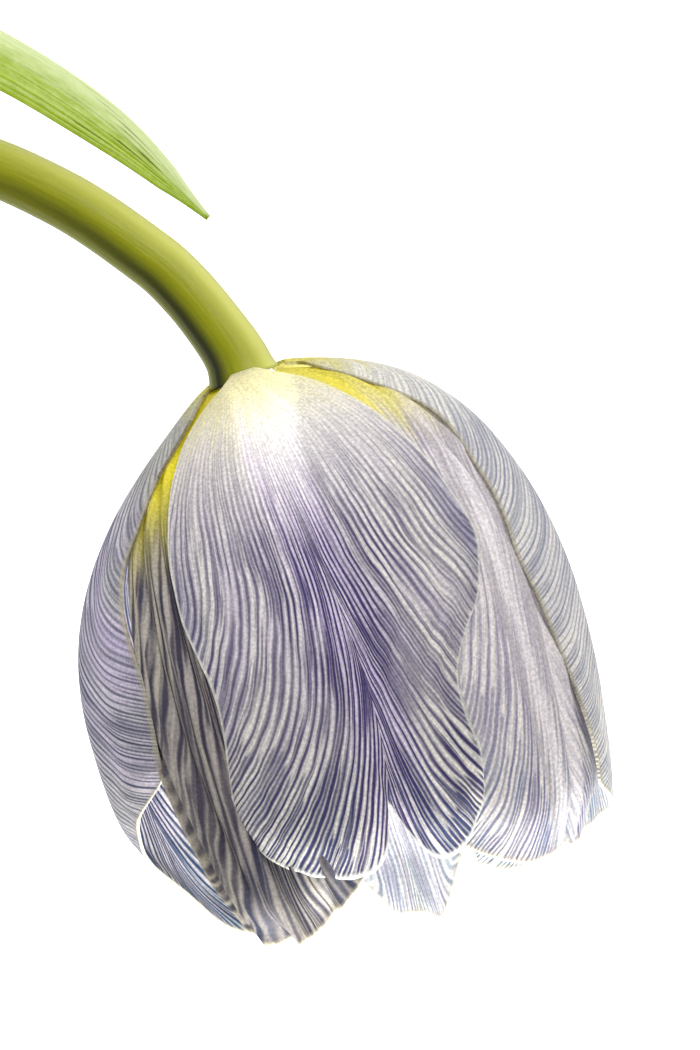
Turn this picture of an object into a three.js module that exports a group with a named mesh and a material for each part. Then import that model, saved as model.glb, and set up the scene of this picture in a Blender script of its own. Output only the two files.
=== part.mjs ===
// A cut tulip lying on its side: six petals round a pistil and six stamens, on an arching stem with one leaf.
// Millimetres, +Z up. The origin is the middle of the bounding box, on the surface that the flower lies on.
import * as THREE from "three";
import { ParametricGeometry } from "three/addons/geometries/ParametricGeometry.js";

// ---- Driving dimensions ----
const FLOWER_AT = new THREE.Vector3(25.3, 11.9, 29.6); // where the stem meets the flower
const FLOWER_TURN = THREE.MathUtils.degToRad(17); // turn of the flower's axis from -Y towards +X
const BELLY_RADIUS = 31; // widest radius of the ring of petals
const BELLY_AT = 38; // distance of the widest place from the stem, along the axis
const MOUTH_DROP = 6; // how much the radius falls over MOUTH_REACH past the belly
const MOUTH_REACH = 32;
const SETTLE = 0.95; // height of the lying flower as a share of its width
const PETAL_BASE = 0.7; // where the petals start along the axis
const OUTER = 0.9; // middle surface of an outer petal, out from the bell
const INNER = -0.9; // and of an inner petal
const PETAL_THICK = 0.7;
const INNER_LIFT = 1.6; // an inner petal stays this far above the surface
const STEM_RADIUS = 3.7;
const LEAF_THICK = 0.8;
const GAP = 0.35; // clearance between touching pieces

// ---- Curves through chosen rows ----
const rowAt = (rows, x, column = 1) => {
  const last = rows.length - 1;
  if (x <= rows[0][0]) return rows[0][column];
  if (x >= rows[last][0]) return rows[last][column];
  const i = rows.findIndex((row) => row[0] >= x) - 1;
  const slope = (k) => {
    const lo = rows[Math.max(k - 1, 0)];
    const hi = rows[Math.min(k + 1, last)];
    return (hi[column] - lo[column]) / (hi[0] - lo[0]);
  };
  const span = rows[i + 1][0] - rows[i][0];
  const t = (x - rows[i][0]) / span;
  const [t2, t3] = [t * t, t * t * t];
  return (
    (2 * t3 - 3 * t2 + 1) * rows[i][column] +
    (t3 - 2 * t2 + t) * span * slope(i) +
    (3 * t2 - 2 * t3) * rows[i + 1][column] +
    (t3 - t2) * span * slope(i + 1)
  );
};

// ---- The bell that the petals lie on ----
const bellRadius = (a) => {
  const short = 1 - Math.min(a, BELLY_AT) / BELLY_AT;
  const rise = BELLY_RADIUS * Math.max(1 - short * short, 1e-9) ** 0.588;
  return rise - MOUTH_DROP * (Math.max(a - BELLY_AT, 0) / MOUTH_REACH) ** 2.3;
};
// The shoulder of the bell leans to one side near the stem.
const bellLean = (a) => 1.35 * a * Math.exp(-a / 7);

const AXIS = new THREE.Vector3(Math.sin(FLOWER_TURN), -Math.cos(FLOWER_TURN), 0);
const ACROSS = new THREE.Vector3(Math.cos(FLOWER_TURN), Math.sin(FLOWER_TURN), 0);

// A place in the flower: along its axis, across it and up.
const inFlower = (along, across, up, target = new THREE.Vector3()) =>
  target
    .copy(FLOWER_AT)
    .addScaledVector(AXIS, along)
    .addScaledVector(ACROSS, across)
    .setZ(FLOWER_AT.z + up);

// A soft lower limit, so that a petal flattens where it lies on the surface.
const restOn = (z, floor, soft = 0.6) => {
  if (z >= floor + soft) return z;
  return z < floor - soft ? floor : floor + (z - floor + soft) ** 2 / (4 * soft);
};

// A point of the bell at an angle round the axis, pushed out along its normal.
const bellPoint = (angle, a, out, floor, target) => {
  const step = 0.01;
  const steep = (bellRadius(a + step) - bellRadius(a - step)) / (2 * step);
  const slope = THREE.MathUtils.clamp(steep, -3, 4);
  const push = out / Math.hypot(1, slope);
  const r = bellRadius(a) + push;
  const up = restOn(SETTLE * r * Math.sin(angle), floor);
  return inFlower(a - slope * push, bellLean(a) + r * Math.cos(angle), up, target);
};

// ---- Petals ----
// margins: distance along the axis, then the angles of the two margins there.
// tip: the end of the petal from one margin (-1) to the other (1), rounded off by round.
// notch: place across, depth and width of the nick at the end of the midrib.
const PETALS = {
  petal_front: {
    layer: OUTER,
    margins: [
      [0.7, 124, 76], [3, 139, 67.5], [6, 143, 62], [10, 138.5, 56], [16, 131.5, 50],
      [22, 127, 47], [27, 124, 46], [31, 121, 48], [35, 118.5, 51], [38.5, 118.2, 57],
      [43, 119.5, 62], [48, 122, 63], [53, 123.3, 62], [60, 122, 62],
    ],
    tip: [[-1, 62.5], [-0.3, 64], [0.2, 64.5], [0.6, 66.3], [1, 64.5]],
    round: 7.5,
    notch: [0.2, 6, 0.08],
  },
  petal_right: {
    layer: INNER,
    margins: [
      [0.7, 60, 12], [4, 78, 5], [10, 86, -8], [20, 84, -20], [35, 82, -24],
      [48, 78, -18], [58, 74, -10], [70, 72, -8],
    ],
    tip: [[-1, 68], [-0.4, 69.6], [0, 69], [0.5, 69.2], [1, 67.8]],
    round: 7,
    notch: [0.04, 1.8, 0.05],
  },
  petal_left: {
    layer: INNER,
    margins: [
      [0.7, 176, 128], [4, 182, 118], [8, 176, 112], [13, 160, 106], [22, 146.5, 98],
      [33, 142, 92], [45, 142.5, 88], [56, 142, 89], [70, 142, 92],
    ],
    tip: [[-1, 71.5], [-0.5, 71], [0, 69.3], [0.5, 67], [1, 65.2]],
    round: 6,
    notch: null,
  },
  petal_far_left: {
    layer: OUTER,
    margins: [
      [0.7, 236, 186], [2.5, 247, 160], [5.5, 260, 151], [10, 267, 149.5], [15, 268, 147],
      [19, 268, 148], [23.5, 268, 145.5], [28, 268, 141.5], [33, 268, 138], [40, 268, 138.5],
      [45, 267, 143], [50, 266, 150], [60, 262, 158], [70, 258, 160],
    ],
    tip: [[-1, 64], [-0.6, 67.5], [-0.2, 68.6], [0.05, 65.2], [0.36, 57.5], [0.62, 53], [0.8, 51.5], [1, 50]],
    round: 5,
    notch: null,
  },
  petal_far_right: {
    layer: OUTER,
    margins: [
      [0.7, -2, -52], [2, 36, -64], [4.6, 44, -76], [12, 32, -86], [19, 33, -88],
      [25, 33, -88], [32, 35, -87], [38, 32.3, -86], [45, 28.5, -84], [51, 24, -80],
      [57, 20, -74], [63, 18, -69], [70, 18, -66],
    ],
    tip: [[-1, 65], [-0.7, 65.5], [-0.3, 66.5], [0.3, 69], [0.7, 71.5], [1, 72]],
    round: 4,
    notch: null,
  },
  petal_back: {
    layer: INNER,
    margins: [
      [0.7, 294, 246], [4, 312, 232], [10, 318, 222], [25, 322, 216], [40, 319, 220],
      [52, 311, 232], [60, 300, 246], [66, 292, 256], [74, 290, 259],
    ],
    tip: [[-1, 71.8], [-0.5, 74.6], [0.1, 73.8], [0.6, 72.6], [1, 69.8]],
    round: 4,
    notch: null,
  },
};

const petalTip = (petal, v) => {
  const rounded = petal.round * (1 - Math.sqrt(Math.max(1 - v * v, 0)));
  const end = rowAt(petal.tip, v) - rounded;
  if (!petal.notch) return end;
  const [at, depth, width] = petal.notch;
  return end - depth * Math.exp(-Math.abs(v - at) / width);
};

// A point of the petal: u from base to tip, v from one margin to the other, side 1 outside and -1 inside.
const petalPoint = (petal, u, v, side, target) => {
  const a = PETAL_BASE + (petalTip(petal, v) - PETAL_BASE) * u ** 1.45;
  const [from, to] = [rowAt(petal.margins, a, 1), rowAt(petal.margins, a, 2)];
  const angle = THREE.MathUtils.degToRad((from + to) / 2 + ((to - from) / 2) * v);
  const skin = (PETAL_THICK / 2) * side;
  const lift = petal.layer === INNER ? INNER_LIFT : 0;
  const floor = lift + PETAL_THICK / 2 - skin - FLOWER_AT.z;
  return bellPoint(angle, a, petal.layer + skin, floor, target);
};

// A thin blade closed at its rim: around runs over the outside and back over the inside.
const blade = (point, columns, rows) => {
  const shape = (around, along, target) => {
    const turn = 2 * Math.PI * around;
    const thin = Math.min(1, 4 * Math.abs(Math.sin(turn)), 12 * along, 12 * (1 - along));
    point(along, Math.cos(turn), Math.sign(Math.sin(turn)) * Math.sqrt(Math.max(thin, 0)), target);
  };
  return new ParametricGeometry(shape, 2 * columns, rows);
};

// ---- Stem ----
// Places of the stem's middle line, from the flower to the cut end, measured from the flower's base.
const STEM_LINE = [
  [0.25, -0.8, 0], [-0.9, 2, 0], [-3.1, 5.3, 0], [-6.8, 9.9, -0.2], [-11, 13.9, -0.6], [-22.9, 21.9, -2.6], [-37, 27.6, -5.8],
  [-53, 28.6, -10], [-68, 23, -14.5], [-79, 10.5, -18.5], [-84.5, -7, -21.5], [-87.5, -27, -23.6],
  [-89.5, -55, -25.9],
];
const stemCurve = new THREE.CatmullRomCurve3(
  STEM_LINE.map(([x, y, z]) => new THREE.Vector3(x, y, z).add(FLOWER_AT)),
);
const stemRadius = (along) => STEM_RADIUS * (1 + 0.06 * Math.exp(-along * 50) - 0.04 * Math.sin(along * Math.PI));

// A round rod along a curve with its ends closed flat.
const rod = (curve, radius, sides, steps) => {
  const shape = (around, along, target) => {
    const end = along <= 0 || along >= 1;
    const t = THREE.MathUtils.clamp((along * steps - 1) / (steps - 2), 0, 1);
    const forward = curve.getTangentAt(t);
    const over = new THREE.Vector3(-forward.y, forward.x, 0).normalize();
    const up = new THREE.Vector3().crossVectors(forward, over);
    const turn = 2 * Math.PI * around;
    const r = end ? 0 : radius(t);
    target
      .copy(curve.getPointAt(t))
      .addScaledVector(over, r * Math.cos(turn))
      .addScaledVector(up, r * Math.sin(turn));
  };
  return new ParametricGeometry(shape, sides, steps);
};

// ---- Leaf ----
// From the sheath to the tip, measured from the flower's base: place, half width, lean from upright in
// degrees, and the radius that the blade is rolled to.
const LEAF_ROWS = [
  [0, -93.2, -42, -24.8, 6.4, 0, 4.6],
  [0.08, -92.6, -29, -24.3, 7, 0, 5],
  [0.17, -95, -12, -22, 8.6, 2, 8],
  [0.26, -96, 4, -20.3, 10.4, 6, 12],
  [0.37, -91.5, 21, -19.2, 11.6, 9, 16],
  [0.48, -82, 34.5, -18.8, 11.8, 12, 18],
  [0.59, -69, 43, -18, 10.8, 18, 17],
  [0.69, -55, 46, -14, 8.8, 28, 14],
  [0.78, -42, 44.8, -8.5, 6.3, 42, 10],
  [0.86, -30.4, 39.9, -4.8, 4.4, 54, 7],
  [0.93, -16.6, 30.6, -3.2, 3, 66, 6],
  [1, -4.4, 19.4, -3, 0.3, 75, 5],
];
const leafColumn = (u, column) => rowAt(LEAF_ROWS, u, column);
const leafLine = (u) =>
  new THREE.Vector3(leafColumn(u, 1), leafColumn(u, 2), leafColumn(u, 3)).add(FLOWER_AT);
const leafPoint = (u, v, side, target) => {
  const step = 0.004;
  const forward = leafLine(Math.min(u + step, 1)).sub(leafLine(Math.max(u - step, 0))).normalize();
  const outward = new THREE.Vector3(-forward.y, forward.x, 0).normalize();
  const lean = THREE.MathUtils.degToRad(leafColumn(u, 5));
  const upright = new THREE.Vector3().crossVectors(outward, forward).negate();
  const lateral = upright.clone().multiplyScalar(Math.cos(lean)).addScaledVector(outward, -Math.sin(lean));
  const inward = new THREE.Vector3().crossVectors(forward, lateral).normalize();
  const roll = leafColumn(u, 6);
  const bend = (-leafColumn(u, 4) * v) / roll;
  const skin = (LEAF_THICK / 2) * side;
  target
    .copy(leafLine(u))
    .addScaledVector(lateral, (roll + skin) * Math.sin(bend))
    .addScaledVector(inward, roll - (roll + skin) * Math.cos(bend));
  target.z = Math.max(target.z, LEAF_THICK / 2 - skin);
};

// ---- Pistil and stamens ----
const PISTIL_ROWS = [
  [0, 1.9], [0.15, 2.5], [0.35, 3.1], [0.6, 3], [0.78, 2.2], [0.86, 2.8], [0.93, 4], [1, 3.6],
];
const [PISTIL_FROM, PISTIL_TO] = [1.3, 23];
const pistilShape = (around, along, target) => {
  const turn = 2 * Math.PI * around;
  const steps = THREE.MathUtils.clamp((along * 16 - 1) / 14, 0, 1);
  const lobes = 1 + (0.07 + 0.16 * THREE.MathUtils.smoothstep(steps, 0.8, 0.95)) * Math.cos(3 * turn);
  const r = along <= 0 || along >= 1 ? 0 : rowAt(PISTIL_ROWS, steps) * lobes;
  inFlower(PISTIL_FROM + (PISTIL_TO - PISTIL_FROM) * steps, r * Math.cos(turn), r * Math.sin(turn), target);
};

const STAMENS = 6;
const FILAMENT = { from: 1.35, length: 10.5, atRadius: 2.95, thick: 0.55, thin: 0.38 };
const ANTHER = { length: 13, width: 2.3, depth: 1.7 };
const STAMEN_SPREAD = THREE.MathUtils.degToRad(17);

// One stamen in its own upright frame, leaning out from the axis, then turned round it.
const stamen = (number) => {
  const group = new THREE.Group();
  const filament = new THREE.Mesh(
    new THREE.CylinderGeometry(FILAMENT.thin, FILAMENT.thick, FILAMENT.length, 8),
    MATERIALS.filament,
  );
  filament.name = `filament_${number}`;
  filament.position.y = FILAMENT.length / 2;
  const anther = new THREE.Mesh(
    new THREE.CapsuleGeometry(0.5, ANTHER.length - 1, 3, 10).scale(ANTHER.width, 1, ANTHER.depth),
    MATERIALS.anther,
  );
  anther.name = `anther_${number}`;
  anther.position.y = FILAMENT.length + GAP + ANTHER.length / 2;
  group.add(filament, anther);
  group.position.x = FILAMENT.atRadius;
  group.rotation.z = -STAMEN_SPREAD;
  const place = new THREE.Group();
  place.add(group);
  place.rotation.y = (2 * Math.PI * (number - 0.5)) / STAMENS;
  return place;
};

// ---- Materials ----
const finish = (color, roughness) => new THREE.MeshStandardMaterial({ color, roughness, metalness: 0 });
const MATERIALS = {
  petal: finish(0xb9aecb, 0.55),
  stem: finish(0x9aa638, 0.45),
  leaf: finish(0x86a53a, 0.45),
  pistil: finish(0xb9c27a, 0.5),
  filament: finish(0xd8dcae, 0.55),
  anther: finish(0x3a3140, 0.8),
};

const named = (name, geometry, material) => {
  const mesh = new THREE.Mesh(geometry, material);
  mesh.name = name;
  return mesh;
};

// ---- The whole tulip ----
const tulip = new THREE.Group();
for (const [name, petal] of Object.entries(PETALS)) {
  const point = (u, v, side, target) => petalPoint(petal, u, v, side, target);
  tulip.add(named(name, blade(point, 16, 22), MATERIALS.petal));
}
tulip.add(named("stem", rod(stemCurve, stemRadius, 12, 48), MATERIALS.stem));
tulip.add(named("leaf", blade(leafPoint, 7, 40), MATERIALS.leaf));
tulip.add(named("pistil", new ParametricGeometry(pistilShape, 18, 16), MATERIALS.pistil));

const stamens = new THREE.Group();
stamens.position.copy(inFlower(FILAMENT.from, 0, 0));
stamens.quaternion.setFromUnitVectors(new THREE.Vector3(0, 1, 0), AXIS);
for (let number = 1; number <= STAMENS; number += 1) stamens.add(stamen(number));
tulip.add(stamens);

export default tulip;
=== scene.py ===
"""A cut tulip lying on a white table: veined petals, an arching stem and one leaf."""

import math

import bmesh
import bpy
import numpy as np
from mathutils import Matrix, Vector


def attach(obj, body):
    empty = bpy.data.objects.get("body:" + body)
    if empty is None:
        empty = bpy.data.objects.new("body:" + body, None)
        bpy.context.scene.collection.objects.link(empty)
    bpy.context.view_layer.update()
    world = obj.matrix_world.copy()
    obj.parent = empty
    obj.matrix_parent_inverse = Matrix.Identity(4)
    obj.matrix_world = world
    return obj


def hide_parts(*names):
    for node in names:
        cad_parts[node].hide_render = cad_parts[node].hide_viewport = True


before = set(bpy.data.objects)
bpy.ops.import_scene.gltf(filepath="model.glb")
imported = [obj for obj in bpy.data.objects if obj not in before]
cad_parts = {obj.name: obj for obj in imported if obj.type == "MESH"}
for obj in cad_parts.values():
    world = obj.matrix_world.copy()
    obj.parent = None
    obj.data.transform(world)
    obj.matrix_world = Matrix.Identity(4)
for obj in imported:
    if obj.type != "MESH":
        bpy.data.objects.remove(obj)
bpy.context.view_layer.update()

MM = 0.001

# ---- Driving dimensions, in millimetres ----
FLOWER_AT = np.array([25.3, 11.9, 29.6])  # where the stem meets the flower
FLOWER_TURN = math.radians(17)  # turn of the flower's axis from -Y towards +X
BELLY_RADIUS = 31.0
BELLY_AT = 38.0
MOUTH_DROP = 6.0
MOUTH_REACH = 32.0
SETTLE = 0.95  # height of the lying flower as a share of its width
PETAL_BASE = 0.7
OUTER = 0.6  # outer petals lie outside the bell, inner ones inside it
INNER = -0.6
PETAL_THICK = 0.42
ROWS_TO_TIP = 1.45  # rows of a petal lie closer together near its base
FLOOR_GAP = 0.05
INNER_LIFT = 1.6

ACROSS = np.array([math.cos(FLOWER_TURN), math.sin(FLOWER_TURN), 0.0])
AXIS = np.array([math.sin(FLOWER_TURN), -math.cos(FLOWER_TURN), 0.0])
UP = np.array([0.0, 0.0, 1.0])


# ---- Small shapes of numbers ----
def through(rows, x, column=1):
    """A smooth curve through chosen rows, held level past both ends."""
    table = np.array(rows, float)
    at, value = table[:, 0], table[:, column]
    x = np.clip(np.asarray(x, float), at[0], at[-1])
    last = len(at) - 1
    before = np.maximum(np.arange(last + 1) - 1, 0)
    after = np.minimum(np.arange(last + 1) + 1, last)
    slope = (value[after] - value[before]) / (at[after] - at[before])
    i = np.clip(np.searchsorted(at, x) - 1, 0, last - 1)
    span = at[i + 1] - at[i]
    t = (x - at[i]) / span
    t2, t3 = t * t, t * t * t
    return (
        (2 * t3 - 3 * t2 + 1) * value[i]
        + (t3 - 2 * t2 + t) * span * slope[i]
        + (3 * t2 - 2 * t3) * value[i + 1]
        + (t3 - t2) * span * slope[i + 1]
    )


def ease(low, high, x):
    t = np.clip((x - low) / (high - low), 0, 1)
    return t * t * (3 - 2 * t)


def hump(x, at, width):
    return np.exp(-(((x - at) / width) ** 2))


# ---- The bell that the petals lie on ----
def bell_radius(a):
    short = 1 - np.minimum(a, BELLY_AT) / BELLY_AT
    rise = BELLY_RADIUS * np.maximum(1 - short * short, 1e-9) ** 0.588
    return rise - MOUTH_DROP * (np.maximum(a - BELLY_AT, 0) / MOUTH_REACH) ** 2.3


def rest_on(z, floor, soft=0.6):
    """A soft lower limit, so that a petal flattens where it lies on the table."""
    near = floor + np.maximum(z - floor + soft, 0) ** 2 / (4 * soft)
    return np.where(z >= floor + soft, z, near)


def in_flower(along, across, up):
    return (
        FLOWER_AT
        + np.multiply.outer(along, AXIS)
        + np.multiply.outer(across, ACROSS)
        + np.multiply.outer(up, UP)
    )


def bell_point(angle, a, out, floor):
    """A point of the bell at an angle round its axis, pushed out along its normal."""
    step = 0.01
    steep = (bell_radius(a + step) - bell_radius(a - step)) / (2 * step)
    slope = np.clip(steep, -3, 4)
    push = out / np.hypot(1, slope)
    r = bell_radius(a) + push
    up = rest_on(SETTLE * r * np.sin(angle), floor)
    lean = 1.35 * a * np.exp(-a / 7)
    return in_flower(a - slope * push, lean + r * np.cos(angle), up)


# ---- Petals ----
# margins: distance along the axis, then the angles of the two margins there.
# tip: the end of the petal from one margin (-1) to the other (1), rounded off by round.
# notch: place across, depth and width of the nick at the end of the midrib.
PETALS = {
    "petal_front": dict(
        layer=OUTER,
        margins=[
            (0.7, 124, 76), (3, 139, 67.5), (6, 143, 62), (10, 138.5, 56), (16, 131.5, 50),
            (22, 127, 47), (27, 124, 46), (31, 121, 48), (35, 118.5, 51), (38.5, 118.2, 57),
            (43, 119.5, 62), (48, 122, 63), (53, 123.3, 62), (60, 122, 62),
        ],
        tip=[(-1, 62.5), (-0.3, 64), (0.2, 64.5), (0.6, 66.3), (1, 64.5)],
        round=7.5,
        notch=(0.2, 9, 0.12),
        veins=[
            (0.7, 110, 27), (7, 101, 38), (12, 95.5, 40), (19, 90, 40), (24, 87.5, 40),
            (31, 85.2, 40), (43, 83.8, 40), (54, 85.2, 40), (64, 87, 40),
        ],
    ),
    "petal_right": dict(
        layer=INNER,
        margins=[
            (0.7, 60, 12), (4, 78, 5), (10, 86, -8), (20, 84, -20), (35, 82, -24),
            (48, 78, -18), (58, 74, -10), (70, 72, -8),
        ],
        tip=[(-1, 68), (-0.4, 69.6), (0, 69), (0.5, 69.2), (1, 67.8)],
        round=7,
        notch=(0.04, 1.8, 0.05),
        veins=[(0.7, 36, 30), (6, 35, 46), (20, 35, 50), (37, 36.4, 50), (57, 33.8, 48), (68, 28.7, 46)],
    ),
    "petal_left": dict(
        layer=INNER,
        margins=[
            (0.7, 176, 128), (4, 182, 118), (8, 176, 112), (13, 160, 106), (22, 146.5, 98),
            (33, 142, 92), (45, 142.5, 88), (56, 142, 89), (70, 142, 92),
        ],
        tip=[(-1, 71.5), (-0.5, 71), (0, 69.3), (0.5, 67), (1, 65.2)],
        round=6,
        notch=None,
    ),
    "petal_far_left": dict(
        layer=OUTER,
        margins=[
            (0.7, 236, 186), (2.5, 247, 160), (5.5, 260, 151), (10, 267, 149.5), (15, 268, 147),
            (19, 268, 148), (23.5, 268, 145.5), (28, 268, 141.5), (33, 268, 138), (40, 268, 138.5),
            (45, 267, 143), (50, 266, 150), (60, 262, 158), (70, 258, 160),
        ],
        tip=[
            (-1, 64), (-0.6, 67.5), (-0.2, 68.6), (0.05, 65.2), (0.36, 57.5), (0.62, 53),
            (0.8, 51.5), (1, 50),
        ],
        round=5,
        notch=None,
        veins=[(0.7, 210, 28), (8, 208, 60), (20, 206, 66), (40, 206, 66), (70, 208, 60)],
    ),
    "petal_far_right": dict(
        layer=OUTER,
        margins=[
            (0.7, -2, -52), (2, 36, -64), (4.6, 44, -76), (12, 32, -86), (19, 33, -88),
            (25, 33, -88), (32, 35, -87), (38, 32.3, -86), (45, 28.5, -84), (51, 24, -80),
            (57, 20, -74), (63, 18, -69), (70, 18, -66),
        ],
        tip=[(-1, 65), (-0.7, 65.5), (-0.3, 66.5), (0.3, 69), (0.7, 71.5), (1, 72)],
        round=4,
        notch=None,
        veins=[(0.7, -27, 28), (8, -27, 60), (20, -27, 62), (40, -27, 62), (70, -26, 54)],
    ),
    "petal_back": dict(
        layer=INNER,
        margins=[
            (0.7, 294, 246), (4, 312, 232), (10, 318, 222), (25, 322, 216), (40, 319, 220),
            (52, 311, 232), (60, 300, 246), (66, 292, 256), (74, 290, 259),
        ],
        tip=[(-1, 71.8), (-0.5, 74.6), (0.1, 73.8), (0.6, 72.6), (1, 69.8)],
        round=4,
        notch=None,
    ),
}


# Folds, ridges and waves of each petal, in millimetres out from the bell.
def front_relief(u, t):
    vein_bundle = -0.3 * hump(u, 0.18, 0.07) * ease(0.15, 0.6, t)
    shoulders = 0.35 * (hump(u, -0.1, 0.12) + hump(u, 0.36, 0.12)) * ease(0.4, 0.9, t)
    pleats = 0.12 * np.sin(24 * u + 3 * t) * ease(0.2, 0.6, t)
    pleats = pleats + 0.08 * np.sin(41 * u - 5 * t) * ease(0.3, 0.7, t)
    ruffle = 0.5 * np.abs(u) ** 3 * np.sin(17 * t + 4 * u) * ease(0.4, 0.7, t)
    pinch = -0.6 * hump(u, 0.95, 0.25) * hump(t, 0.68, 0.05)
    curl = -1.2 * ease(0.9, 1, t) ** 2
    return vein_bundle + shoulders + pleats + ruffle + pinch + curl


def right_relief(u, t):
    rib = u + 0.05 - 0.12 * ease(0.75, 1, t)
    ridges = 0.75 * (hump(rib, -0.08, 0.045) + hump(rib, 0.08, 0.045)) * ease(0.03, 0.15, t)
    valley = -0.35 * (hump(rib, 0, 0.035) + hump(rib, 0.19, 0.05)) * ease(0.03, 0.2, t)
    pleats = 0.12 * np.sin(25 * u - 2 * t) * ease(0.3, 0.7, t)
    ruffle = 0.5 * np.abs(u) ** 3 * np.sin(13 * t) * ease(0.5, 0.8, t)
    curl = -1.5 * ease(0.88, 1, t) ** 2
    return ridges + valley + pleats + ruffle + curl


def left_relief(u, t):
    twist = u + 0.45 * (1 - t) ** 2
    pleats = (0.5 * np.sin(17 * twist + 1.2) + 0.22 * np.sin(37 * twist)) * ease(0.08, 0.35, t)
    midrib = -0.4 * hump(u, 0.02, 0.1) * ease(0.1, 0.4, t)
    ruffle = 0.4 * np.abs(u) ** 3 * np.sin(11 * t + 1)
    curl = -1.5 * ease(0.9, 1, t) ** 2 * (1 + 0.6 * np.sin(9 * u))
    return pleats + midrib + ruffle + curl


def far_left_relief(u, t):
    pleats = 0.25 * np.sin(14 * u + 2 * t) * ease(0.15, 0.4, t)
    curl = -1.0 * ease(0.9, 1, t) ** 2
    return pleats * ease(-0.9, -0.5, u) + curl


def far_right_relief(u, t):
    pleats = 0.2 * np.sin(16 * u - 3 * t) * ease(0.15, 0.4, t)
    flare = 0.7 * ease(0.85, 1, t) * ease(0.1, -0.8, u)
    return pleats * ease(0.9, 0.5, u) + flare


def back_relief(u, t):
    pleats = 0.25 * np.sin(14 * u) * ease(0.3, 0.6, t)
    lip = -1.8 * ease(0.88, 1, t) ** 2 * (1 + 0.5 * np.sin(7 * u + 1))
    return pleats - 0.5 * hump(u, 0, 0.12) * ease(0.2, 0.5, t) + lip


RELIEF = {
    "petal_front": front_relief,
    "petal_right": right_relief,
    "petal_left": left_relief,
    "petal_far_left": far_left_relief,
    "petal_far_right": far_right_relief,
    "petal_back": back_relief,
}


def petal_tip(petal, u):
    end = through(petal["tip"], u) - petal["round"] * (1 - np.sqrt(np.maximum(1 - u * u, 0)))
    if petal["notch"]:
        at, depth, width = petal["notch"]
        end = end - depth * np.exp(-np.abs(u - at) / width)
    return end


def vein_place(name, u, t):
    """Where the veins see a point: across from the midrib, and from base to tip."""
    petal = PETALS[name]
    a = PETAL_BASE + (petal_tip(petal, u) - PETAL_BASE) * t**ROWS_TO_TIP
    if "veins" not in petal:
        return np.stack([u, t], axis=1)
    first, second = through(petal["margins"], a, 1), through(petal["margins"], a, 2)
    angle = (first + second) / 2 + (second - first) / 2 * u
    across = (through(petal["veins"], a, 1) - angle) / through(petal["veins"], a, 2)
    longest = max(row[1] for row in petal["tip"])
    up = np.maximum((a - PETAL_BASE) / (longest - PETAL_BASE), 0) ** (1 / ROWS_TO_TIP)
    return np.stack([across, up], axis=1)


def petal_surface(name, u, t):
    """Middle surface of a petal: u from one margin (-1) to the other (1), t from base to tip."""
    petal = PETALS[name]
    a = PETAL_BASE + (petal_tip(petal, u) - PETAL_BASE) * t**ROWS_TO_TIP
    first, second = through(petal["margins"], a, 1), through(petal["margins"], a, 2)
    angle = np.radians((first + second) / 2 + (second - first) / 2 * u)
    lift = INNER_LIFT if petal["layer"] == INNER else FLOOR_GAP
    floor = lift + PETAL_THICK / 2 - FLOWER_AT[2]
    curl = -0.45 * ease(0.75, 1, np.abs(u)) if petal["layer"] == OUTER else 0.0
    return bell_point(angle, a, petal["layer"] + curl + RELIEF[name](u, t), floor)


# ---- Meshes ----
def grid_mesh(name, columns, rows, place, wrap=False, uv=None, uv_edge=None):
    """A grid whose vertices are moved to place(across, along), across and along from 0 to 1."""
    bm = bmesh.new()
    bmesh.ops.create_grid(bm, x_segments=columns, y_segments=rows, size=1)
    across = np.array([vert.co.x for vert in bm.verts]) / 2 + 0.5
    along = np.array([vert.co.y for vert in bm.verts]) / 2 + 0.5
    points = place(across, along) * MM
    for vert, point in zip(bm.verts, points):
        vert.co = point
    layer = bm.loops.layers.uv.new("flat")
    flat = np.stack([across, along], axis=1) if uv is None else uv(across, along)
    edge = bm.loops.layers.uv.new("edge") if uv_edge else None
    edges = uv_edge(across, along) if uv_edge else None
    bm.verts.index_update()
    for face in bm.faces:
        face.smooth = True
        for loop in face.loops:
            loop[layer].uv = flat[loop.vert.index]
            if edge:
                loop[edge].uv = edges[loop.vert.index]
    if wrap:
        bmesh.ops.remove_doubles(bm, verts=bm.verts, dist=1e-7)
        bmesh.ops.holes_fill(bm, edges=bm.edges, sides=0)
    bmesh.ops.recalc_face_normals(bm, faces=bm.faces)
    mesh = bpy.data.meshes.new(name)
    bm.to_mesh(mesh)
    bm.free()
    piece = bpy.data.objects.new(name, mesh)
    bpy.context.scene.collection.objects.link(piece)
    return piece


def settle_in(piece, node, material):
    piece.data.materials.append(material)
    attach(piece, "root")
    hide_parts(node)


def face_away(piece, centre):
    """Turns an open sheet so that its faces look away from a point."""
    mesh = piece.data
    middle = mesh.polygons[len(mesh.polygons) // 2]
    if middle.normal.dot(middle.center - Vector(centre)) < 0:
        mesh.flip_normals()


def thicken(piece, thick):
    solid = piece.modifiers.new("thickness", "SOLIDIFY")
    solid.thickness = thick * MM
    solid.offset = 0.0
    solid.use_even_offset = False
    solid.use_quality_normals = True


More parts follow.
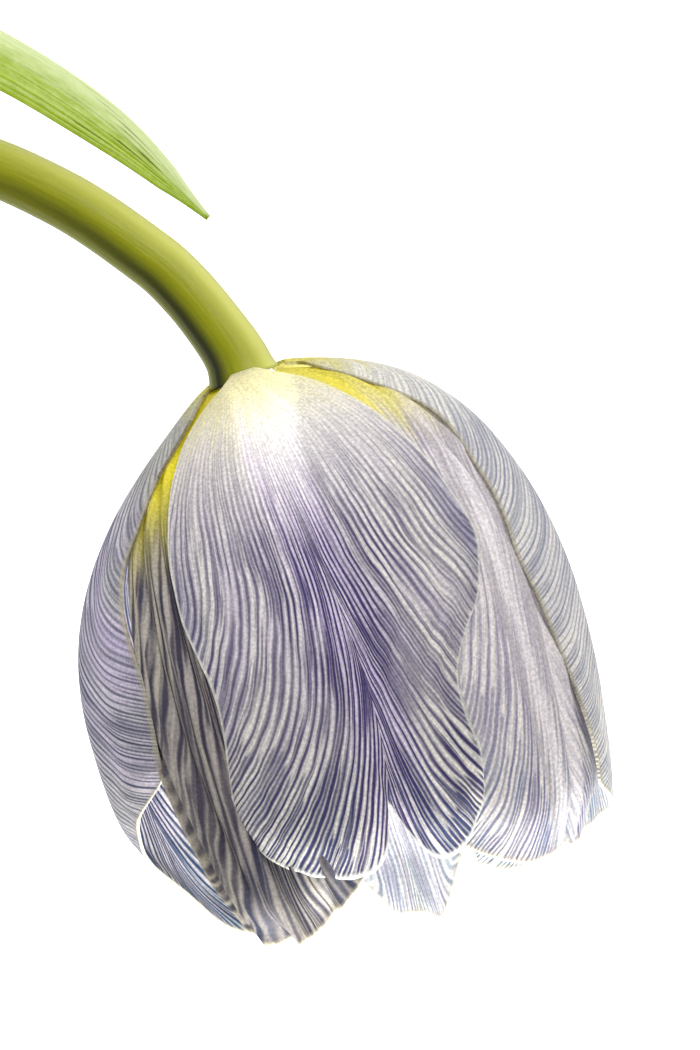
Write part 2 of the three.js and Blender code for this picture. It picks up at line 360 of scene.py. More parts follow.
# ---- Node helpers ----
class Nodes:
    """Adds nodes to a tree with short calls; a value may be a number, a tuple or a socket."""

    def __init__(self, tree):
        self.tree = tree
        self.spot = 0

    def add(self, kind, **settings):
        node = self.tree.nodes.new(kind)
        self.spot += 1
        node.location = (200 * (self.spot % 12), -220 * (self.spot // 12))
        for key, value in settings.items():
            setattr(node, key, value)
        return node

    def feed(self, socket, value):
        if isinstance(value, bpy.types.NodeSocket):
            self.tree.links.new(value, socket)
        elif value is not None:
            socket.default_value = value

    def math(self, operation, *values, clamp=False):
        node = self.add("ShaderNodeMath", operation=operation, use_clamp=clamp)
        for socket, value in zip(node.inputs, values):
            self.feed(socket, value)
        return node.outputs[0]

    def ramp(self, value, low, high, to_low=0.0, to_high=1.0):
        node = self.add("ShaderNodeMapRange", interpolation_type="SMOOTHSTEP")
        for socket, item in zip(node.inputs, (value, low, high, to_low, to_high)):
            self.feed(socket, item)
        return node.outputs[0]

    def ramp_straight(self, value, low, high):
        node = self.add("ShaderNodeMapRange")
        for socket, item in zip(node.inputs, (value, low, high, 0.0, 1.0)):
            self.feed(socket, item)
        return node.outputs[0]

    def mix(self, factor, first, second, blend="MIX"):
        node = self.add("ShaderNodeMix", data_type="RGBA", blend_type=blend, clamp_factor=True)
        self.feed(node.inputs[0], factor)
        self.feed(node.inputs[6], first)
        self.feed(node.inputs[7], second)
        return node.outputs[2]

    def vector(self, x=0.0, y=0.0, z=0.0):
        node = self.add("ShaderNodeCombineXYZ")
        for socket, value in zip(node.inputs, (x, y, z)):
            self.feed(socket, value)
        return node.outputs[0]

    def noise(self, vector, scale=1.0, detail=2.0, roughness=0.5, output=0):
        node = self.add("ShaderNodeTexNoise", noise_dimensions="3D")
        self.feed(node.inputs["Vector"], vector)
        self.feed(node.inputs["Scale"], scale)
        self.feed(node.inputs["Detail"], detail)
        self.feed(node.inputs["Roughness"], roughness)
        return node.outputs[output]

    def gauss(self, value, at, width):
        far = self.math("DIVIDE", self.math("SUBTRACT", value, at), width)
        return self.math("EXPONENT", self.math("MULTIPLY", self.math("MULTIPLY", far, far), -1.0))


def group(name, inputs, outputs):
    tree = bpy.data.node_groups.new(name, "ShaderNodeTree")
    for label, kind, default in inputs:
        socket = tree.interface.new_socket(name=label, in_out="INPUT", socket_type=kind)
        if default is not None:
            socket.default_value = default
    for label, kind in outputs:
        tree.interface.new_socket(name=label, in_out="OUTPUT", socket_type=kind)
    nodes = Nodes(tree)
    return nodes, nodes.add("NodeGroupInput"), nodes.add("NodeGroupOutput")


FLOAT, VECTOR, COLOUR = "NodeSocketFloat", "NodeSocketVector", "NodeSocketColor"


def make_vein_group():
    """Veins that run up the petal, peel off its middle and sweep to the margins."""
    n, given, result = group(
        "petal veins",
        [
            ("Flat", VECTOR, None),
            ("Count", FLOAT, 46.0),
            ("Sweep", FLOAT, 9.0),
            ("Sweep From", FLOAT, 0.4),
            ("Early", FLOAT, 0.6),
            ("Fan", FLOAT, 0.4),
            ("Wobble", FLOAT, 1.0),
            ("Seed", FLOAT, 0.0),
        ],
        [("Veins", FLOAT), ("Threads", FLOAT), ("Across", FLOAT), ("Line", FLOAT)],
    )
    split = n.add("ShaderNodeSeparateXYZ")
    n.feed(split.inputs[0], given.outputs["Flat"])
    u, t = split.outputs[0], split.outputs[1]
    seed = given.outputs["Seed"]
    drift = n.noise(n.vector(n.math("MULTIPLY", u, 1.8), n.math("MULTIPLY", t, 3.0), seed), 1.0, 1.0)
    drift = n.math("MULTIPLY", n.math("SUBTRACT", drift, 0.5), 0.05)
    middle = n.math("ADD", u, drift)
    away = n.math("ABSOLUTE", middle)
    rise = n.math("POWER", n.ramp_straight(t, given.outputs["Sweep From"], 1.0), 1.6)
    sweep = n.math("MULTIPLY", rise, given.outputs["Sweep"])
    sweep = n.math("ADD", sweep, n.math("MULTIPLY", n.math("ADD", t, 0.02), given.outputs["Early"]))
    start = n.math("DIVIDE", away, n.math("ADD", n.math("MULTIPLY", away, sweep), 1.0))
    fanned = n.math("POWER", n.math("ADD", start, 0.003), 0.75)
    fanned = n.math("SUBTRACT", fanned, n.math("MULTIPLY", rise, given.outputs["Fan"]))
    side = n.math("SIGN", middle)
    k = n.math("MULTIPLY", n.math("MULTIPLY", fanned, side), n.math("MULTIPLY", given.outputs["Count"], 0.5))
    place = n.vector(n.math("MULTIPLY", k, 0.22), n.math("MULTIPLY", t, 6.0), n.math("ADD", seed, 3.0))
    bend = n.noise(place, 1.0, 2.0)
    bend = n.math("MULTIPLY", n.math("SUBTRACT", bend, 0.5), given.outputs["Wobble"])
    place = n.vector(n.math("MULTIPLY", k, 0.8), n.math("MULTIPLY", t, 30.0), n.math("ADD", seed, 7.0))
    quiver = n.noise(place, 1.0, 1.0)
    quiver = n.math("MULTIPLY", n.math("SUBTRACT", quiver, 0.5), 0.16)
    kk = n.math("ADD", n.math("ADD", k, bend), quiver)

    def noise_on_lines(across, along, shift):
        wide_scale, long_scale = n.math("MULTIPLY", kk, across), n.math("MULTIPLY", t, along)
        return n.noise(n.vector(wide_scale, long_scale, n.math("ADD", seed, shift)), 1.0, 1.0)

    def stripes(value, thin, wide):
        gap = n.math("ABSOLUTE", n.math("SUBTRACT", n.math("FRACT", n.math("ADD", value, 100.0)), 0.5))
        return n.ramp(gap, thin, wide, 1.0, 0.0)

    close = n.math("POWER", n.math("ADD", n.math("MULTIPLY", away, sweep), 1.0), -2.0)
    wide = n.ramp(noise_on_lines(0.9, 4.0, 5.0), 0.3, 0.7, 0.26, 0.5)
    wide = n.math("MULTIPLY", wide, n.ramp(close, 0.03, 0.7, 0.22, 1.0))
    main = stripes(kk, n.math("MULTIPLY", wide, 0.2), wide)
    main = n.math("MULTIPLY", main, n.ramp(noise_on_lines(1.0, 7.0, 9.0), 0.25, 0.5, 0.45, 1.0))
    room = n.math("MULTIPLY", n.ramp(close, 0.62, 0.4), 0.3)
    forks = stripes(n.math("ADD", kk, 0.5), n.math("MULTIPLY", wide, 0.15), n.math("MULTIPLY", wide, 0.8))
    forks = n.math("MULTIPLY", forks, n.ramp(n.math("ADD", noise_on_lines(0.5, 5.0, 13.0), room), 0.5, 0.6))
    room = n.math("MULTIPLY", n.ramp(close, 0.32, 0.18), 0.3)
    twigs = stripes(n.math("MULTIPLY", kk, 2.0), n.math("MULTIPLY", wide, 0.3), n.math("MULTIPLY", wide, 1.4))
    twigs = n.math("MULTIPLY", twigs, n.ramp(n.math("ADD", noise_on_lines(1.0, 5.0, 21.0), room), 0.58, 0.7))
    room = n.math("MULTIPLY", n.ramp(close, 0.16, 0.08), 0.3)
    quarters = n.math("MULTIPLY", n.math("ADD", kk, 0.125), 4.0)
    hairs = stripes(quarters, n.math("MULTIPLY", wide, 0.6), n.math("MULTIPLY", wide, 2.6))
    hairs = n.math("MULTIPLY", hairs, n.ramp(n.math("ADD", noise_on_lines(2.0, 5.0, 27.0), room), 0.62, 0.74))
    forks = n.math("MAXIMUM", forks, n.math("MAXIMUM", twigs, hairs))
    threads = stripes(n.math("MULTIPLY", kk, 3.0), 0.05, 0.45)
    threads = n.math("MULTIPLY", threads, n.ramp(noise_on_lines(2.0, 14.0, 17.0), 0.4, 0.65))
    n.feed(result.inputs["Veins"], n.math("MAXIMUM", main, n.math("MULTIPLY", forks, 0.85)))
    n.feed(result.inputs["Threads"], threads)
    n.feed(result.inputs["Across"], middle)
    n.feed(result.inputs["Line"], kk)
    return n.tree


VEINS = make_vein_group()


def petal_material(name, seed, look):
    """Petal skin: pale ground, purple flush, dark veins, teal streaks at the tip, yellow base; a painted
    sheen, painted shadow patches, and painted ridge highlights and crease shade.
    """
    material = bpy.data.materials.new(name)
    material.use_nodes = True
    n = Nodes(material.node_tree)
    n.tree.nodes.clear()
    flat = n.add("ShaderNodeUVMap", uv_map="flat").outputs[0]
    split = n.add("ShaderNodeSeparateXYZ")
    n.feed(split.inputs[0], flat)
    u, t = split.outputs[0], split.outputs[1]
    veins = n.add("ShaderNodeGroup", node_tree=VEINS)
    n.feed(veins.inputs["Flat"], flat)
    for key in ("Count", "Sweep", "Sweep From", "Early", "Fan", "Wobble"):
        veins.inputs[key].default_value = look[key]
    veins.inputs["Seed"].default_value = seed
    line, thread, across, number = veins.outputs

    cloud = n.noise(n.vector(n.math("MULTIPLY", u, 1.6), n.math("MULTIPLY", t, 2.6), seed + 20), 1.0, 2.0)
    long_place = n.vector(n.math("MULTIPLY", number, 0.35), n.math("MULTIPLY", t, 3.0), seed + 30)
    along = n.noise(long_place, 1.0, 3.0)
    place = n.add("ShaderNodeTexCoord").outputs["Object"]
    grain = n.noise(place, 2600.0, 2.0, 0.6)
    away = n.math("ABSOLUTE", across)
    narrow = n.ramp(t, 0.35, 1.0, look["bundle width"], look["bundle end"])
    bundle = n.math("MULTIPLY", n.gauss(across, 0.0, narrow), n.ramp(t, 0.18, 0.7))
    flush = n.math("MULTIPLY", n.ramp(t, look["flush from"], look["flush to"]), look["flush"])
    flush = n.math("MULTIPLY", flush, n.ramp(along, 0.25, 0.7, 0.3, 1.5))
    flush = n.math("MULTIPLY", flush, n.ramp(t, 0.6, 0.95, 1.0, look["flush tip"]))
    flush = n.math("ADD", flush, n.math("MULTIPLY", bundle, look["bundle"]), clamp=True)
    side = n.math("MULTIPLY", n.ramp(away, 0.7, 1.0), n.gauss(t, 0.55, 0.17))
    side = n.math("MULTIPLY", side, look["edge"])
    colour = n.mix(flush, look["ground"], look["lilac"])
    colour = n.mix(n.math("MULTIPLY", side, 0.75), colour, (0.24, 0.24, 0.36, 1))
    # Painted shadows: dark patches laid over the ground where the petal lies in shade.
    for at_u, wide_u, at_t, wide_t, amount, shade in look["painted_shadows"]:
        patch = n.math("MULTIPLY", n.gauss(across, at_u, wide_u), n.gauss(t, at_t, wide_t))
        colour = n.mix(n.math("MULTIPLY", patch, amount), colour, shade)
    tip = n.ramp(t, 0.75, 1.0)
    teal = n.math("MULTIPLY", n.math("MULTIPLY", tip, n.ramp(along, 0.4, 0.6)), look["teal"])
    dark = n.mix(n.math("MULTIPLY", away, look["slate"]), look["vein"], (0.07, 0.08, 0.13, 1))
    dark = n.mix(teal, dark, (0.02, 0.13, 0.25, 1))
    strength = n.ramp(t, look["veins from"], look["veins to"], look["vein base"], look["vein mid"])
    strength = n.math("ADD", strength, n.math("MULTIPLY", tip, look["vein tip"]))
    strength = n.math("ADD", strength, n.math("MULTIPLY", bundle, look["bundle veins"]))
    strength = n.math("MULTIPLY", strength, n.ramp(cloud, 0.3, 0.6, 0.8, 1.1))
    # Painted sheen: a near-white patch high on the petal, which also weakens the veins there.
    painted_sheen = n.math("MULTIPLY", n.gauss(t, 0.27, 0.13), n.gauss(across, 0.15, 0.45))
    painted_sheen = n.math("MULTIPLY", painted_sheen, look["painted_sheen"])
    strength = n.math("MULTIPLY", strength, n.math("SUBTRACT", 1.0, painted_sheen))
    colour = n.mix(painted_sheen, colour, (0.86, 0.85, 0.84, 1))
    # Ribs keep veins off their bands. Their colours are painted light: paler ridges are painted highlight,
    # and darker grooves are painted shade.
    for at, width, amount, shade in look["ribs"]:
        rib = n.gauss(u, at, width)
        strength = n.math("MULTIPLY", strength, n.math("SUBTRACT", 1.0, n.math("MULTIPLY", rib, 0.8)))
        colour = n.mix(n.math("MULTIPLY", rib, amount), colour, shade)
    colour = n.mix(n.math("MULTIPLY", n.math("MULTIPLY", thread, strength), 0.4), colour, dark)
    colour = n.mix(n.math("MULTIPLY", line, strength, clamp=True), colour, dark)
    ragged = n.math("ADD", t, n.math("MULTIPLY", n.math("SUBTRACT", along, 0.5), 0.25))
    low = n.ramp(ragged, look["yellow from"], look["yellow to"], 1.0, 0.0)
    colour = n.mix(n.math("MULTIPLY", low, look["yellow"]), colour, (0.62, 0.56, 0.03, 1))
    edge = n.add("ShaderNodeSeparateXYZ")
    n.feed(edge.inputs[0], n.add("ShaderNodeUVMap", uv_map="edge").outputs[0])
    rim = n.ramp(n.math("ABSOLUTE", edge.outputs[0]), 0.975, 0.995)
    rim = n.math("MAXIMUM", rim, n.ramp(edge.outputs[1], 0.99, 0.998))
    colour = n.mix(n.math("MULTIPLY", rim, 0.7), colour, look["rim"])
    speckle = n.mix(n.ramp(grain, 0.3, 0.7), (0.78, 0.78, 0.80, 1), (1.12, 1.12, 1.11, 1))
    colour = n.mix(1.0, colour, speckle, "MULTIPLY")

    height = n.math("ADD", n.math("MULTIPLY", line, -0.6), n.math("MULTIPLY", grain, 0.5))
    bump = n.add("ShaderNodeBump")
    bump.inputs["Strength"].default_value = 0.5
    bump.inputs["Distance"].default_value = 0.0003
    n.feed(bump.inputs["Height"], height)
    skin = n.add("ShaderNodeBsdfPrincipled")
    n.feed(skin.inputs["Base Color"], colour)
    skin.inputs["Roughness"].default_value = 0.6
    skin.inputs["Specular IOR Level"].default_value = 0.25
    n.feed(skin.inputs["Normal"], bump.outputs[0])
    glow = n.add("ShaderNodeBsdfTranslucent")
    n.feed(glow.inputs["Color"], colour)
    n.feed(glow.inputs["Normal"], bump.outputs[0])
    both = n.add("ShaderNodeMixShader")
    both.inputs[0].default_value = 0.45
    n.feed(both.inputs[1], skin.outputs[0])
    n.feed(both.inputs[2], glow.outputs[0])
    out = n.add("ShaderNodeOutputMaterial")
    n.feed(out.inputs[0], both.outputs[0])
    return material


PLAIN_LOOK = {
    "Count": 54.0, "Sweep": 1.0, "Sweep From": 0.5, "Early": 0.25, "Fan": 0.35, "Wobble": 1.0,
    "bundle": 0.45, "bundle width": 0.34, "bundle end": 0.14, "bundle veins": 0.3,
    "flush": 0.35, "flush from": 0.08, "flush to": 0.4, "flush tip": 0.2,
    "ground": (0.78, 0.76, 0.69, 1), "lilac": (0.50, 0.42, 0.60, 1), "vein": (0.06, 0.045, 0.19, 1),
    "vein base": 0.15, "vein mid": 0.95, "vein tip": 0.2, "veins from": 0.04, "veins to": 0.4, "slate": 0.3,
    "teal": 0.7, "painted_sheen": 0.0, "edge": 0.0, "yellow": 0.8, "yellow from": 0.02, "yellow to": 0.16,
    "rim": (0.42, 0.38, 0.27, 1), "ribs": [], "painted_shadows": [],
}
# Painted highlight for the tops of ridges, and painted shade for the creases beside them.
PAINTED_RIDGE_HIGHLIGHT = (0.68, 0.65, 0.66, 1)
PAINTED_CREASE_SHADE = (0.22, 0.19, 0.24, 1)
LOOKS = {
    "petal_front": dict(
        PLAIN_LOOK, Fan=0.5, teal=0.25,
        **{"painted_sheen": 0.35, "edge": 0.8, "ground": (0.84, 0.81, 0.72, 1), "vein": (0.05, 0.035, 0.13, 1),
           "vein base": 0.05, "vein mid": 0.85, "vein tip": 0.3, "veins from": 0.1, "veins to": 0.55,
           "yellow": 0.35, "yellow from": 0.08, "yellow to": 0.26, "rim": (0.80, 0.80, 0.70, 1)},
    ),
    "petal_right": dict(
        PLAIN_LOOK, Early=0.7,
        ribs=[(-0.085, 0.045, 0.7, PAINTED_RIDGE_HIGHLIGHT), (0.085, 0.05, 0.7, PAINTED_RIDGE_HIGHLIGHT), (0.0, 0.022, 0.4, PAINTED_CREASE_SHADE),
              (-0.165, 0.02, 0.45, PAINTED_CREASE_SHADE), (0.175, 0.022, 0.55, PAINTED_CREASE_SHADE)],
        **{"bundle": 0.0, "bundle veins": 0.0, "flush": 0.12, "vein mid": 0.6, "yellow from": 0.1,
           "yellow to": 0.36, "yellow": 0.9, "ground": (0.66, 0.63, 0.58, 1)},
    ),
    # petal_left's dark olive ground and greyed lilac are painted shade: the petal is painted darker where it
    # lies in the front petal's shadow.
    "petal_left": dict(
        PLAIN_LOOK, Count=30.0, Wobble=0.6, Fan=0.15,
        **{"flush": 0.9, "flush tip": 0.8, "bundle": 0.0, "vein mid": 0.9, "vein base": 0.5, "vein tip": 0.0,
           "yellow from": 0.22, "yellow to": 0.46, "yellow": 0.95, "teal": 0.1,
           "ground": (0.45, 0.42, 0.33, 1), "lilac": (0.36, 0.33, 0.31, 1), "vein": (0.03, 0.022, 0.045, 1)},
    ),
    "petal_far_left": dict(
        PLAIN_LOOK, Count=60.0, Early=1.0, Fan=0.7,
        # petal_far_left: one dark olive patch of painted shadow, towards one margin and the tip.
        painted_shadows=[(-0.75, 0.25, 0.72, 0.16, 0.85, (0.16, 0.17, 0.12, 1))],
        **{"Sweep From": 0.1, "flush": 0.5, "bundle": 0.2, "slate": 1.0, "ground": (0.58, 0.58, 0.52, 1),
           "vein": (0.03, 0.04, 0.10, 1)},
    ),
    "petal_far_right": dict(
        PLAIN_LOOK, Count=60.0, Early=1.0, Fan=0.8,
        **{"Sweep From": 0.1, "flush": 0.15, "bundle": 0.1, "vein mid": 0.6, "teal": 0.9,
           "vein": (0.06, 0.10, 0.24, 1)},
    ),
    # petal_back is white with blue lines. Its ground is made paler and its veins weaker as painted light,
    # brightening the shaded inside of the cup.
    "petal_back": dict(
        PLAIN_LOOK, Count=30.0, ground=(0.92, 0.90, 0.85, 1),
        **{"yellow to": 0.3, "flush": 0.0, "bundle": 0.0, "bundle veins": 0.0, "teal": 1.0, "vein mid": 0.45},
    ),
}


def petal_piece(name, seed):
    def place(across, along):
        u = np.sin(math.pi * (across - 0.5))
        return petal_surface(name, u, along)

    def flat(across, along):
        return vein_place(name, np.sin(math.pi * (across - 0.5)), along)

    def edge(across, along):
        return np.stack([np.sin(math.pi * (across - 0.5)), along], axis=1)

    piece = grid_mesh(name + "_skin", 130, 190, place, uv=flat, uv_edge=edge)
    face_away(piece, in_flower(36.0, 0.0, 0.0) * MM)
    thicken(piece, PETAL_THICK)
    settle_in(piece, name, petal_material(name, seed, LOOKS[name]))


for seed, name in enumerate(PETALS):
    petal_piece(name, 10.0 * seed)

# ---- Stem ----
STEM_RADIUS = 3.7
STEM_LINE = [
    (0.25, -0.8, 0), (-0.9, 2, 0), (-3.1, 5.3, 0), (-6.8, 9.9, -0.2), (-11, 13.9, -0.6),
    (-22.9, 21.9, -2.6), (-37, 27.6, -5.8), (-53, 28.6, -10), (-68, 23, -14.5),
    (-79, 10.5, -18.5), (-84.5, -7, -21.5), (-87.5, -27, -23.6), (-89.5, -55, -25.9),
]


def stem_line(along):
    points = np.array(STEM_LINE, float)
    steps = np.concatenate([[0], np.cumsum(np.linalg.norm(np.diff(points, axis=0), axis=1))])
    rows = np.column_stack([steps / steps[-1], points])
    return np.stack([through(rows, along, c) for c in (1, 2, 3)], axis=1) + FLOWER_AT


def along_frame(line, along, step=0.002):
    """Forward, left and up directions along a lying curve."""
    forward = line(np.minimum(along + step, 1)) - line(np.maximum(along - step, 0))
    forward /= np.linalg.norm(forward, axis=1, keepdims=True)
    left = np.stack([-forward[:, 1], forward[:, 0], 0 * along], axis=1)
    left /= np.linalg.norm(left, axis=1, keepdims=True)
    return forward, left, np.cross(forward, left)


def stem_place(across, along):
    forward, left, up = along_frame(stem_line, along)
    turn = 2 * math.pi * across
    flare = 0.2 * np.exp(-along * 50) + 0.1 * np.exp(-along * 250)
    radius = STEM_RADIUS * (1 + flare - 0.04 * np.sin(along * math.pi))
    ribs = 1 + 0.006 * np.cos(17 * turn) + 0.012 * np.cos(3 * turn + 6 * along)
    r = (radius * ribs)[:, None]
    return stem_line(along) + r * (np.cos(turn)[:, None] * left + np.sin(turn)[:, None] * up)


def plant_material(name, paint, roughness, shine=0.3, through_light=0.0):
    """A waxy green surface: paint gives its colour and its height from the flat coordinates."""
    material = bpy.data.materials.new(name)
    material.use_nodes = True
    n = Nodes(material.node_tree)
    n.tree.nodes.clear()
    flat = n.add("ShaderNodeUVMap", uv_map="flat").outputs[0]
    split = n.add("ShaderNodeSeparateXYZ")
    n.feed(split.inputs[0], flat)
    place = n.add("ShaderNodeTexCoord").outputs["Object"]
    colour, height = paint(n, split.outputs[0], split.outputs[1], place)
    bump = n.add("ShaderNodeBump")
    bump.inputs["Strength"].default_value = 0.4
    bump.inputs["Distance"].default_value = 0.0002
    n.feed(bump.inputs["Height"], height)
    skin = n.add("ShaderNodeBsdfPrincipled")
    n.feed(skin.inputs["Base Color"], colour)
    skin.inputs["Roughness"].default_value = roughness
    skin.inputs["Specular IOR Level"].default_value = shine
    n.feed(skin.inputs["Normal"], bump.outputs[0])
    last = skin.outputs[0]
    if through_light:
        glow = n.add("ShaderNodeBsdfTranslucent")
        n.feed(glow.inputs["Color"], colour)
        both = n.add("ShaderNodeMixShader")
        both.inputs[0].default_value = through_light
        n.feed(both.inputs[1], last)
        n.feed(both.inputs[2], glow.outputs[0])
        last = both.outputs[0]
    out = n.add("ShaderNodeOutputMaterial")
    n.feed(out.inputs[0], last)
    return material


def paint_stem(n, around, along, place):
    stretched = n.vector(n.math("MULTIPLY", around, 60.0), n.math("MULTIPLY", along, 30.0), 1.0)
    streak = n.noise(stretched, 1.0, 3.0)
    colour = n.mix(streak, (0.11, 0.12, 0.0, 1), (0.19, 0.20, 0.001, 1))
    # Painted highlight: a pale yellow band along the upper side of the stem near the flower.
    painted_highlight = n.math("MULTIPLY", n.gauss(around, 0.40, 0.08), n.ramp(along, 0.02, 0.3, 1.0, 0.5))
    colour = n.mix(n.math("MULTIPLY", painted_highlight, 0.7), colour, (0.46, 0.46, 0.13, 1))
    # Painted shade: a near-black band along the lower-left side of the stem, strongest near the flower.
    shade = n.gauss(around, n.ramp(along, 0.0, 0.25, 0.12, 0.17), 0.065)
    shade = n.math("MULTIPLY", shade, n.ramp(along, 0.02, 0.3, 1.0, 0.4))
    pores = n.noise(place, 2500.0, 2.0)
    colour = n.mix(n.math("MULTIPLY", pores, 0.08), colour, (0.45, 0.47, 0.02, 1))
    colour = n.mix(n.math("MULTIPLY", shade, 0.97), colour, (0.006, 0.008, 0.0, 1))
    return colour, n.math("ADD", streak, n.math("MULTIPLY", pores, 0.3))


stem = grid_mesh("stem_skin", 72, 420, stem_place, wrap=True)
settle_in(stem, "stem", plant_material("stem", paint_stem, 0.42, shine=0.12))

# ---- Leaf ----
LEAF_THICK = 0.7
LEAF_SHEEN_FROM, LEAF_SHEEN_TO = -0.3, 0.5  # the painted sheen: paler colour on the half of the blade where light falls
LEAF_ROWS = [
    (0, -93.2, -42, -24.8, 6.4, 0, 4.6),
    (0.08, -92.6, -29, -24.3, 7, 0, 5),
    (0.17, -95, -12, -22, 8.6, 2, 8),
    (0.26, -96, 4, -20.3, 10.4, 6, 12),
    (0.37, -91.5, 21, -19.2, 11.6, 9, 16),
    (0.48, -82, 34.5, -18.8, 11.8, 12, 18),
    (0.59, -69, 43, -18, 10.8, 18, 17),
    (0.69, -55, 46, -14, 8.8, 28, 14),
    (0.78, -42, 44.8, -8.5, 6.3, 42, 10),
    (0.86, -30.4, 39.9, -4.8, 4.4, 54, 7),
    (0.93, -16.6, 30.6, -3.2, 3, 66, 6),
    (1, -4.4, 19.4, -3, 0.3, 75, 5),
]


def leaf_line(along):
    return np.stack([through(LEAF_ROWS, along, c) for c in (1, 2, 3)], axis=1) + FLOWER_AT


def leaf_place(across, along):
    forward, left, up = along_frame(leaf_line, along)
    half, lean, roll = (through(LEAF_ROWS, along, c) for c in (4, 5, 6))
    half = half * np.sqrt(np.clip((1.0005 - along) / 0.03, 0, 1))
    lean = np.radians(lean)[:, None]
    side = np.cos(lean) * up - np.sin(lean) * left
    inward = np.cross(forward, side)
    v = np.sin(math.pi * (across - 0.5))
    bend = -half * v / roll
    point = leaf_line(along) + (roll * np.sin(bend))[:, None] * side
    point = point + (roll * (1 - np.cos(bend)))[:, None] * inward
    ribs = 0.05 * np.cos(34 * v) - 0.25 * hump(v, 0, 0.1)
    point = point - ribs[:, None] * inward
    point[:, 2] = np.maximum(point[:, 2], LEAF_THICK / 2 + 0.02)
    return point


def paint_leaf(n, around, along, place):
    v = n.math("SUBTRACT", n.math("MULTIPLY", around, 2.0), 1.0)
    lines = n.math("SINE", n.math("MULTIPLY", v, 75.0))
    stretched = n.vector(n.math("MULTIPLY", around, 14.0), n.math("MULTIPLY", along, 60.0), 2.0)
    streak = n.noise(stretched, 1.0, 4.0, 0.65)
    mottle = n.noise(place, 1400.0, 3.0, 0.7)
    colour = n.mix(streak, (0.13, 0.22, 0.001, 1), (0.33, 0.42, 0.012, 1))
    colour = n.mix(n.math("MULTIPLY", n.ramp(mottle, 0.35, 0.75), 0.35), colour, (0.34, 0.44, 0.10, 1))
    ragged = n.math("ADD", v, n.math("MULTIPLY", n.math("SUBTRACT", streak, 0.5), 0.7))
    # Painted sheen: the half of the blade that faces the light is painted pale.
    leaf_sheen = n.ramp(ragged, LEAF_SHEEN_FROM, LEAF_SHEEN_TO)
    colour = n.mix(n.math("MULTIPLY", leaf_sheen, 0.7), colour, (0.54, 0.60, 0.34, 1))
    colour = n.mix(n.math("MULTIPLY", n.ramp(lines, 0.0, 1.0), 0.07), colour, (0.08, 0.16, 0.01, 1))
    blisters = n.math("ADD", streak, n.math("MULTIPLY", mottle, 0.6))
    return colour, n.math("ADD", n.math("MULTIPLY", lines, 0.15), blisters)


leaf = grid_mesh("leaf_skin", 60, 320, leaf_place)
face_away(leaf, np.array([-30.0, 0.0, 14.0]) * MM)
thicken(leaf, LEAF_THICK)
settle_in(leaf, "leaf", plant_material("leaf", paint_leaf, 0.38, through_light=0.2))

# ---- Pistil and stamens ----
PISTIL_ROWS = [(0, 1.9), (0.15, 2.5), (0.35, 3.1), (0.6, 3), (0.78, 2.2), (0.86, 2.8), (0.93, 4), (1, 3.6)]
PISTIL_FROM, PISTIL_TO = 1.3, 23.0


def pistil_place(across, along):
    turn = 2 * math.pi * across
    t = np.clip((along - 0.02) / 0.94, 0, 1)
    lobes = 1 + (0.07 + 0.16 * ease(0.8, 0.95, t)) * np.cos(3 * turn)
    end = np.where(along < 0.02, along / 0.02, 1) * np.sqrt(np.clip((1 - along) / 0.04, 0, 1))
    r = through(PISTIL_ROWS, t) * lobes * end
    return in_flower(PISTIL_FROM + (PISTIL_TO - PISTIL_FROM) * t, r * np.cos(turn), r * np.sin(turn))


def paint_pistil(n, around, along, place):
    fuzz = n.noise(place, 900.0, 3.0)
    colour = n.mix(n.ramp(along, 0.7, 0.9), (0.42, 0.50, 0.16, 1), (0.72, 0.66, 0.30, 1))
    colour = n.mix(n.math("MULTIPLY", fuzz, 0.4), colour, (0.80, 0.80, 0.55, 1))
    return colour, fuzz


pistil = grid_mesh("pistil_skin", 64, 90, pistil_place, wrap=True)
settle_in(pistil, "pistil", plant_material("pistil", paint_pistil, 0.5))

FILAMENT_FROM, FILAMENT_LENGTH, FILAMENT_AT = 1.35, 10.5, 2.95
FILAMENT_THIN, FILAMENT_THICK = 0.38, 0.55
ANTHER_LENGTH, ANTHER_WIDTH, ANTHER_DEPTH = 13.0, 2.3, 1.7
STAMEN_GAP = 0.35
STAMEN_SPREAD = math.radians(17)


def stamen_point(number, out, aside, up):
    """A point of a stamen in the flower; a stamen leans out from the axis."""
    round_axis = 2 * math.pi * (number - 0.5) / 6
    along = FILAMENT_FROM + up * math.cos(STAMEN_SPREAD) - out * math.sin(STAMEN_SPREAD)
    far = FILAMENT_AT + up * math.sin(STAMEN_SPREAD) + out * math.cos(STAMEN_SPREAD)
    across = -far * math.cos(round_axis) + aside * math.sin(round_axis)
    high = -far * math.sin(round_axis) - aside * math.cos(round_axis)
    return in_flower(along, across, high)


def paint_filament(n, around, along, place):
    colour = n.mix(n.ramp(along, 0.5, 1.0), (0.74, 0.74, 0.42, 1), (0.35, 0.28, 0.42, 1))
    return colour, n.noise(place, 1500.0, 2.0)


def paint_anther(n, around, along, place):
    dust = n.noise(place, 2600.0, 3.0, 0.7)
    colour = n.mix(n.ramp(dust, 0.45, 0.7), (0.030, 0.022, 0.045, 1), (0.17, 0.13, 0.16, 1))
    return colour, dust


FILAMENT_SKIN = plant_material("filament", paint_filament, 0.5)
ANTHER_SKIN = plant_material("anther", paint_anther, 0.85)


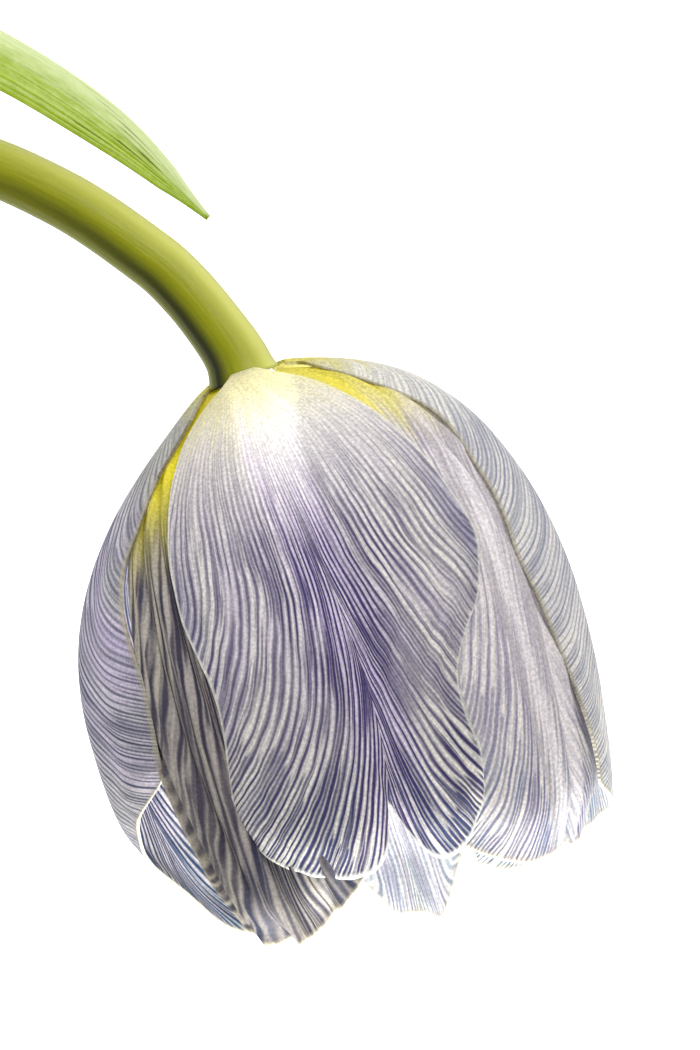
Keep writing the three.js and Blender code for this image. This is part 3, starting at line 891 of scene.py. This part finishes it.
def stamen_pieces(number):
    def filament(across, along):
        turn = 2 * math.pi * across
        r = FILAMENT_THICK + (FILAMENT_THIN - FILAMENT_THICK) * along
        return stamen_point(number, r * np.cos(turn), r * np.sin(turn), FILAMENT_LENGTH * along)

    def anther(across, along):
        turn = 2 * math.pi * across
        bulge = np.sqrt(np.maximum(1 - (2 * along - 1) ** 6, 0))
        cleft = 1 - 0.16 * hump(np.abs(np.cos(turn)), 1, 0.25) - 0.1 * hump(np.abs(np.sin(turn)), 1, 0.2)
        lumps = 1 + 0.03 * np.sin(40 * along + 3 * turn)
        r = bulge * cleft * lumps / 2
        up = FILAMENT_LENGTH + STAMEN_GAP + ANTHER_LENGTH * along
        return stamen_point(number, ANTHER_WIDTH * r * np.cos(turn), ANTHER_DEPTH * r * np.sin(turn), up)

    piece = grid_mesh(f"filament_{number}_skin", 16, 20, filament, wrap=True)
    settle_in(piece, f"filament_{number}", FILAMENT_SKIN)
    piece = grid_mesh(f"anther_{number}_skin", 40, 60, anther, wrap=True)
    settle_in(piece, f"anther_{number}", ANTHER_SKIN)


for number in range(1, 7):
    stamen_pieces(number)

# ---- Table, light and camera ----
def make_floor():
    bm = bmesh.new()
    bmesh.ops.create_grid(bm, x_segments=1, y_segments=1, size=3.0)
    mesh = bpy.data.meshes.new("table")
    bm.to_mesh(mesh)
    bm.free()
    floor = bpy.data.objects.new("table", mesh)
    bpy.context.scene.collection.objects.link(floor)
    material = bpy.data.materials.new("table")
    material.use_nodes = True
    skin = material.node_tree.nodes["Principled BSDF"]
    skin.inputs["Base Color"].default_value = (0.93, 0.93, 0.93, 1)
    skin.inputs["Roughness"].default_value = 0.9
    skin.inputs["Emission Color"].default_value = (1, 1, 1, 1)
    skin.inputs["Emission Strength"].default_value = 0.5
    floor.data.materials.append(material)


def make_area(name, place, aim, size, power):
    light = bpy.data.lights.new(name, "AREA")
    light.shape = "SQUARE"
    light.size = size
    light.energy = power
    lamp = bpy.data.objects.new(name, light)
    lamp.location = place
    lamp.rotation_euler = (Vector(aim) - Vector(place)).to_track_quat("-Z", "Y").to_euler()
    lamp.visible_camera = False
    bpy.context.scene.collection.objects.link(lamp)


make_floor()
make_area("key", (0.12, 0.42, 0.62), (0.03, -0.02, 0.03), 0.3, 6.2)
make_area("fill", (-0.7, -0.1, 0.5), (0.03, -0.02, 0.03), 0.5, 2.0)
make_area("into the cup", (0.059, -0.098, 0.032), (0.035, -0.02, 0.026), 0.04, 0.45)

world = bpy.data.worlds.new("studio")
world.use_nodes = True
world.node_tree.nodes["Background"].inputs[0].default_value = (1, 1, 1, 1)
world.node_tree.nodes["Background"].inputs[1].default_value = 0.62
bpy.context.scene.world = world

VIEW_CENTRE = (0.038675, -0.007225)
VIEW_WIDE = 0.13125  # what the long side of the picture covers at the flower's axis
VIEW_FAR = 0.9
SENSOR_MM = 36
camera_data = bpy.data.cameras.new("camera")
camera_data.sensor_fit = "VERTICAL"
camera_data.sensor_height = SENSOR_MM
camera_data.lens = SENSOR_MM * VIEW_FAR / VIEW_WIDE
camera_data.clip_end = 20
camera = bpy.data.objects.new("camera", camera_data)
camera.location = (VIEW_CENTRE[0], VIEW_CENTRE[1], FLOWER_AT[2] * MM + VIEW_FAR)
bpy.context.scene.collection.objects.link(camera)
bpy.context.scene.camera = camera
bpy.context.scene.view_settings.view_transform = "Standard"
